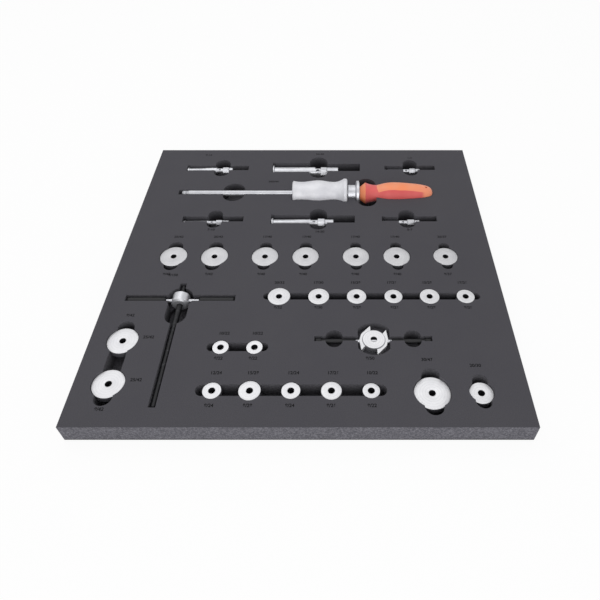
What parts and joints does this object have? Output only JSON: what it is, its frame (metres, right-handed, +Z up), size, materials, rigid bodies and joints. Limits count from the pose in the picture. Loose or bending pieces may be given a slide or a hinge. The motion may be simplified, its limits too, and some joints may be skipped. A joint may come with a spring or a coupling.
{
  "type": "foam tool tray",
  "caption": "Foam drawer tray with cut pockets for a bearing tool set: press drifts, collet extractors, a slide hammer, a press handle and a bladed nut, each lifting out.",
  "frame": {"origin": "middle of the tray's underside", "axes": "+Z up out of the pockets, +X to the right along the slide hammer, +Y to the back edge"},
  "size_m": [0.564, 0.567, 0.0526],
  "materials": {
    "foam": "matte",
    "base_sheet": "matte",
    "drift_aluminium": "satin",
    "satin_steel": "satin",
    "black_steel": "black oxide",
    "black_rubber": "matte",
    "orange_core": "matte",
    "red_grip": "matte"
  },
  "bodies": {
    "tray": {"foam_body": "foam", "foam_base": "base_sheet"},
    "large_drift_1": {"large_drift_1": "drift_aluminium"},
    "large_drift_2": {"large_drift_2": "drift_aluminium"},
    "large_drift_3": {"large_drift_3": "drift_aluminium"},
    "large_drift_4": {"large_drift_4": "drift_aluminium"},
    "large_drift_5": {"large_drift_5": "drift_aluminium"},
    "large_drift_6": {"large_drift_6": "drift_aluminium"},
    "large_drift_7": {"large_drift_7": "drift_aluminium"},
    "medium_drift_1": {"medium_drift_1": "drift_aluminium"},
    "medium_drift_2": {"medium_drift_2": "drift_aluminium"},
    "medium_drift_3": {"medium_drift_3": "drift_aluminium"},
    "medium_drift_4": {"medium_drift_4": "drift_aluminium"},
    "medium_drift_5": {"medium_drift_5": "drift_aluminium"},
    "medium_drift_6": {"medium_drift_6": "drift_aluminium"},
    "left_drift_1": {"left_drift_1": "drift_aluminium"},
    "left_drift_2": {"left_drift_2": "drift_aluminium"},
    "small_drift_1": {"small_drift_1": "drift_aluminium"},
    "small_drift_2": {"small_drift_2": "drift_aluminium"},
    "lower_drift_1": {"lower_drift_1": "drift_aluminium"},
    "lower_drift_2": {"lower_drift_2": "drift_aluminium"},
    "lower_drift_3": {"lower_drift_3": "drift_aluminium"},
    "lower_drift_4": {"lower_drift_4": "drift_aluminium"},
    "lower_drift_5": {"lower_drift_5": "drift_aluminium"},
    "right_drift_1": {"right_drift_1": "drift_aluminium"},
    "right_drift_2": {"right_drift_2": "drift_aluminium"},
    "extractor_1_sleeve": {"extractor_1_collet": "satin_steel"},
    "extractor_1_nut": {"extractor_1_nut": "satin_steel"},
    "extractor_1_spindle": {"extractor_1_spindle": "satin_steel"},
    "extractor_2_sleeve": {"extractor_2_collet": "satin_steel"},
    "extractor_2_nut": {"extractor_2_nut": "satin_steel"},
    "extractor_2_spindle": {"extractor_2_spindle": "satin_steel"},
    "extractor_3_sleeve": {"extractor_3_collet": "satin_steel"},
    "extractor_3_nut": {"extractor_3_nut": "satin_steel"},
    "extractor_3_spindle": {"extractor_3_spindle": "satin_steel"},
    "extractor_4_sleeve": {"extractor_4_collet": "satin_steel"},
    "extractor_4_nut": {"extractor_4_nut": "satin_steel"},
    "extractor_4_spindle": {"extractor_4_spindle": "satin_steel"},
    "extractor_5_sleeve": {"extractor_5_collet": "satin_steel"},
    "extractor_5_nut": {"extractor_5_nut": "satin_steel"},
    "extractor_5_spindle": {"extractor_5_spindle": "satin_steel"},
    "extractor_6_sleeve": {"extractor_6_collet": "satin_steel"},
    "extractor_6_nut": {"extractor_6_nut": "satin_steel"},
    "extractor_6_spindle": {"extractor_6_spindle": "satin_steel"},
    "slide_hammer": {"hammer_rod": "satin_steel", "hammer_stop": "satin_steel", "hammer_handle_core": "orange_core", "hammer_handle_grip": "red_grip"},
    "hammer_weight": {"hammer_weight": "satin_steel"},
    "press_handle": {"press_hub": "satin_steel", "press_spindle": "black_steel"},
    "press_bar": {"press_cross_bar": "satin_steel", "press_bar_grips": "black_rubber"},
    "star_nut": {"star_nut_plate": "satin_steel"},
    "star_bar": {"star_nut_bar": "satin_steel", "star_nut_bar_grips": "black_rubber"}
  },
  "joints": [
    {"name": "large_drift_1_lift", "type": "slide", "parent": "tray", "child": "large_drift_1", "axis": [0, 0, 1], "range_m": [0, 0.05]},
    {"name": "large_drift_2_lift", "type": "slide", "parent": "tray", "child": "large_drift_2", "axis": [0, 0, 1], "range_m": [0, 0.05]},
    {"name": "large_drift_3_lift", "type": "slide", "parent": "tray", "child": "large_drift_3", "axis": [0, 0, 1], "range_m": [0, 0.05]},
    {"name": "large_drift_4_lift", "type": "slide", "parent": "tray", "child": "large_drift_4", "axis": [0, 0, 1], "range_m": [0, 0.05]},
    {"name": "large_drift_5_lift", "type": "slide", "parent": "tray", "child": "large_drift_5", "axis": [0, 0, 1], "range_m": [0, 0.05]},
    {"name": "large_drift_6_lift", "type": "slide", "parent": "tray", "child": "large_drift_6", "axis": [0, 0, 1], "range_m": [0, 0.05]},
    {"name": "large_drift_7_lift", "type": "slide", "parent": "tray", "child": "large_drift_7", "axis": [0, 0, 1], "range_m": [0, 0.05]},
    {"name": "medium_drift_1_lift", "type": "slide", "parent": "tray", "child": "medium_drift_1", "axis": [0, 0, 1], "range_m": [0, 0.05]},
    {"name": "medium_drift_2_lift", "type": "slide", "parent": "tray", "child": "medium_drift_2", "axis": [0, 0, 1], "range_m": [0, 0.05]},
    {"name": "medium_drift_3_lift", "type": "slide", "parent": "tray", "child": "medium_drift_3", "axis": [0, 0, 1], "range_m": [0, 0.05]},
    {"name": "medium_drift_4_lift", "type": "slide", "parent": "tray", "child": "medium_drift_4", "axis": [0, 0, 1], "range_m": [0, 0.05]},
    {"name": "medium_drift_5_lift", "type": "slide", "parent": "tray", "child": "medium_drift_5", "axis": [0, 0, 1], "range_m": [0, 0.05]},
    {"name": "medium_drift_6_lift", "type": "slide", "parent": "tray", "child": "medium_drift_6", "axis": [0, 0, 1], "range_m": [0, 0.05]},
    {"name": "left_drift_1_lift", "type": "slide", "parent": "tray", "child": "left_drift_1", "axis": [0, 0, 1], "range_m": [0, 0.05]},
    {"name": "left_drift_2_lift", "type": "slide", "parent": "tray", "child": "left_drift_2", "axis": [0, 0, 1], "range_m": [0, 0.05]},
    {"name": "small_drift_1_lift", "type": "slide", "parent": "tray", "child": "small_drift_1", "axis": [0, 0, 1], "range_m": [0, 0.05]},
    {"name": "small_drift_2_lift", "type": "slide", "parent": "tray", "child": "small_drift_2", "axis": [0, 0, 1], "range_m": [0, 0.05]},
    {"name": "lower_drift_1_lift", "type": "slide", "parent": "tray", "child": "lower_drift_1", "axis": [0, 0, 1], "range_m": [0, 0.05]},
    {"name": "lower_drift_2_lift", "type": "slide", "parent": "tray", "child": "lower_drift_2", "axis": [0, 0, 1], "range_m": [0, 0.05]},
    {"name": "lower_drift_3_lift", "type": "slide", "parent": "tray", "child": "lower_drift_3", "axis": [0, 0, 1], "range_m": [0, 0.05]},
    {"name": "lower_drift_4_lift", "type": "slide", "parent": "tray", "child": "lower_drift_4", "axis": [0, 0, 1], "range_m": [0, 0.05]},
    {"name": "lower_drift_5_lift", "type": "slide", "parent": "tray", "child": "lower_drift_5", "axis": [0, 0, 1], "range_m": [0, 0.05]},
    {"name": "right_drift_1_lift", "type": "slide", "parent": "tray", "child": "right_drift_1", "axis": [0, 0, 1], "range_m": [0, 0.05]},
    {"name": "right_drift_2_lift", "type": "slide", "parent": "tray", "child": "right_drift_2", "axis": [0, 0, 1], "range_m": [0, 0.05]},
    {"name": "extractor_1_sleeve_lift", "type": "slide", "parent": "tray", "child": "extractor_1_sleeve", "axis": [0, 0, 1], "range_m": [0, 0.05]},
    {"name": "extractor_1_nut_turn", "type": "hinge", "parent": "extractor_1_sleeve", "child": "extractor_1_nut", "pos_m": [-0.1616, 0.2268, 0.0236], "axis": [1, 0, 0], "range_deg": [0, 1080]},
    {"name": "extractor_1_spindle_draw", "type": "slide", "parent": "extractor_1_sleeve", "child": "extractor_1_spindle", "axis": [1, 0, 0], "range_m": [0, 0.003]},
    {"name": "extractor_2_sleeve_lift", "type": "slide", "parent": "tray", "child": "extractor_2_sleeve", "axis": [0, 0, 1], "range_m": [0, 0.05]},
    {"name": "extractor_2_nut_turn", "type": "hinge", "parent": "extractor_2_sleeve", "child": "extractor_2_nut", "pos_m": [0.0156, 0.2286, 0.0189], "axis": [1, 0, 0], "range_deg": [0, 1080]},
    {"name": "extractor_2_spindle_draw", "type": "slide", "parent": "extractor_2_sleeve", "child": "extractor_2_spindle", "axis": [1, 0, 0], "range_m": [0, 0.003]},
    {"name": "extractor_3_sleeve_lift", "type": "slide", "parent": "tray", "child": "extractor_3_sleeve", "axis": [0, 0, 1], "range_m": [0, 0.05]},
    {"name": "extractor_3_nut_turn", "type": "hinge", "parent": "extractor_3_sleeve", "child": "extractor_3_nut", "pos_m": [0.1764, 0.2276, 0.022], "axis": [1, 0, 0], "range_deg": [0, 1080]},
    {"name": "extractor_3_spindle_draw", "type": "slide", "parent": "extractor_3_sleeve", "child": "extractor_3_spindle", "axis": [1, 0, 0], "range_m": [0, 0.003]},
    {"name": "extractor_4_sleeve_lift", "type": "slide", "parent": "tray", "child": "extractor_4_sleeve", "axis": [0, 0, 1], "range_m": [0, 0.05]},
    {"name": "extractor_4_nut_turn", "type": "hinge", "parent": "extractor_4_sleeve", "child": "extractor_4_nut", "pos_m": [-0.1536, 0.0863, 0.021], "axis": [1, 0, 0], "range_deg": [0, 1080]},
    {"name": "extractor_4_spindle_draw", "type": "slide", "parent": "extractor_4_sleeve", "child": "extractor_4_spindle", "axis": [1, 0, 0], "range_m": [0, 0.003]},
    {"name": "extractor_5_sleeve_lift", "type": "slide", "parent": "tray", "child": "extractor_5_sleeve", "axis": [0, 0, 1], "range_m": [0, 0.05]},
    {"name": "extractor_5_nut_turn", "type": "hinge", "parent": "extractor_5_sleeve", "child": "extractor_5_nut", "pos_m": [0.0136, 0.086, 0.0212], "axis": [1, 0, 0], "range_deg": [0, 1080]},
    {"name": "extractor_5_spindle_draw", "type": "slide", "parent": "extractor_5_sleeve", "child": "extractor_5_spindle", "axis": [1, 0, 0], "range_m": [0, 0.003]},
    {"name": "extractor_6_sleeve_lift", "type": "slide", "parent": "tray", "child": "extractor_6_sleeve", "axis": [0, 0, 1], "range_m": [0, 0.05]},
    {"name": "extractor_6_nut_turn", "type": "hinge", "parent": "extractor_6_sleeve", "child": "extractor_6_nut", "pos_m": [0.1604, 0.0866, 0.0214], "axis": [1, 0, 0], "range_deg": [0, 1080]},
    {"name": "extractor_6_spindle_draw", "type": "slide", "parent": "extractor_6_sleeve", "child": "extractor_6_spindle", "axis": [1, 0, 0], "range_m": [0, 0.003]},
    {"name": "slide_hammer_lift", "type": "slide", "parent": "tray", "child": "slide_hammer", "axis": [0, 0, 1], "range_m": [0, 0.06]},
    {"name": "hammer_weight_slide", "type": "slide", "parent": "slide_hammer", "child": "hammer_weight", "axis": [1, 0, 0], "range_m": [-0.0009, 0.0009]},
    {"name": "press_handle_lift", "type": "slide", "parent": "tray", "child": "press_handle", "axis": [0, 0, 1], "range_m": [0, 0.05]},
    {"name": "press_bar_slide", "type": "slide", "parent": "press_handle", "child": "press_bar", "axis": [1, 0, 0], "range_m": [-0.001, 0.001]},
    {"name": "star_nut_lift", "type": "slide", "parent": "tray", "child": "star_nut", "axis": [0, 0, 1], "range_m": [0, 0.05]},
    {"name": "star_bar_slide", "type": "slide", "parent": "star_nut", "child": "star_bar", "axis": [1, 0, 0], "range_m": [-0.001, 0.001]}
  ],
  "couplings": [
    {"joint": "extractor_1_nut_turn", "follows": "extractor_1_spindle_draw", "rad_per_m": 6283.2},
    {"joint": "extractor_2_nut_turn", "follows": "extractor_2_spindle_draw", "rad_per_m": 6283.2},
    {"joint": "extractor_3_nut_turn", "follows": "extractor_3_spindle_draw", "rad_per_m": 6283.2},
    {"joint": "extractor_4_nut_turn", "follows": "extractor_4_spindle_draw", "rad_per_m": 6283.2},
    {"joint": "extractor_5_nut_turn", "follows": "extractor_5_spindle_draw", "rad_per_m": 6283.2},
    {"joint": "extractor_6_nut_turn", "follows": "extractor_6_spindle_draw", "rad_per_m": 6283.2}
  ]
}
